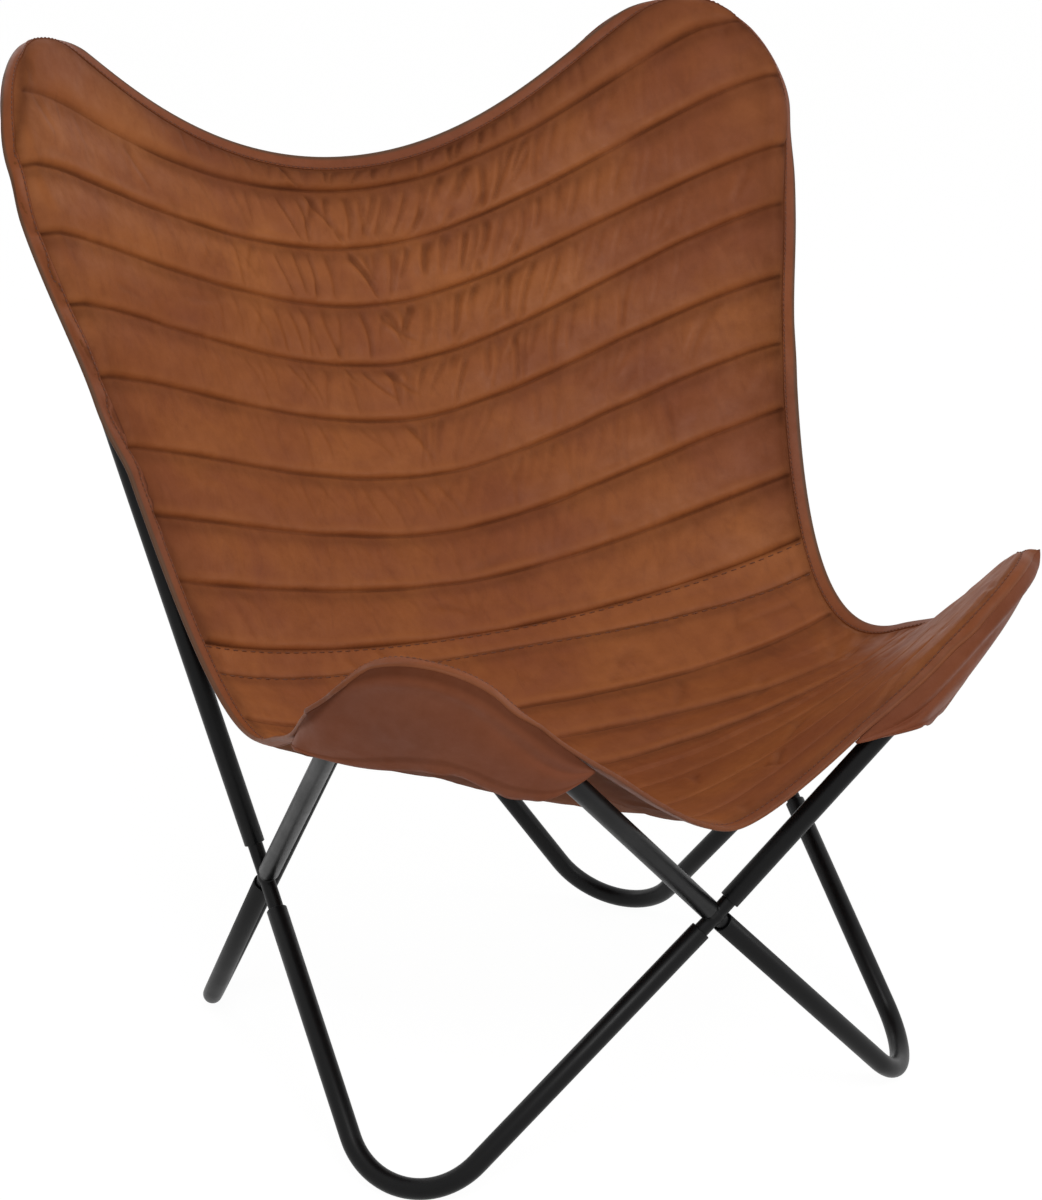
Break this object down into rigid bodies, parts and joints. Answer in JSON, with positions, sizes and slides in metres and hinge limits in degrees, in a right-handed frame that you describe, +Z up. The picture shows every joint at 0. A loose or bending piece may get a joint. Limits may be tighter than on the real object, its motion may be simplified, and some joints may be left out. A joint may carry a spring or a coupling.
{
  "type": "butterfly sling chair",
  "caption": "Butterfly chair: bent steel tubes on crossed joints carry a channel-sewn leather sling by its four corner pockets.",
  "frame": {"origin": "on the floor, at the middle of the chair's own box", "axes": "+Z up, -Y the way the sitter looks, +X to the sitter's left"},
  "size_m": [0.8012, 0.7432, 0.9096],
  "materials": {
    "tube_steel": "satin black powder coat",
    "joint_steel": "satin black powder coat",
    "panel_leather": "waxed tan leather in sewn channels",
    "pocket_leather": "plain brown leather, dull",
    "binding_leather": "folded leather strip, stitched"
  },
  "bodies": {
    "root": {"foot_tube_front_left": "tube_steel", "foot_tube_front_right": "tube_steel", "foot_tube_rear_left": "tube_steel", "foot_tube_rear_right": "tube_steel", "horn_tube_front_left": "tube_steel", "horn_tube_front_right": "tube_steel", "back_tube_left": "tube_steel", "back_tube_right": "tube_steel", "cross_joint_left": "joint_steel", "cross_joint_right": "joint_steel", "cross_joint_front": "joint_steel", "cross_joint_rear": "joint_steel", "back_panel": "panel_leather", "join_band": "panel_leather", "seat_panel": "panel_leather", "pocket_back_left": "pocket_leather", "pocket_back_right": "pocket_leather", "pocket_front_left": "pocket_leather", "pocket_front_right": "pocket_leather", "edge_binding_top": "binding_leather", "edge_binding_front": "binding_leather", "edge_binding_left": "binding_leather", "edge_binding_right": "binding_leather"}
  },
  "joints": []
}
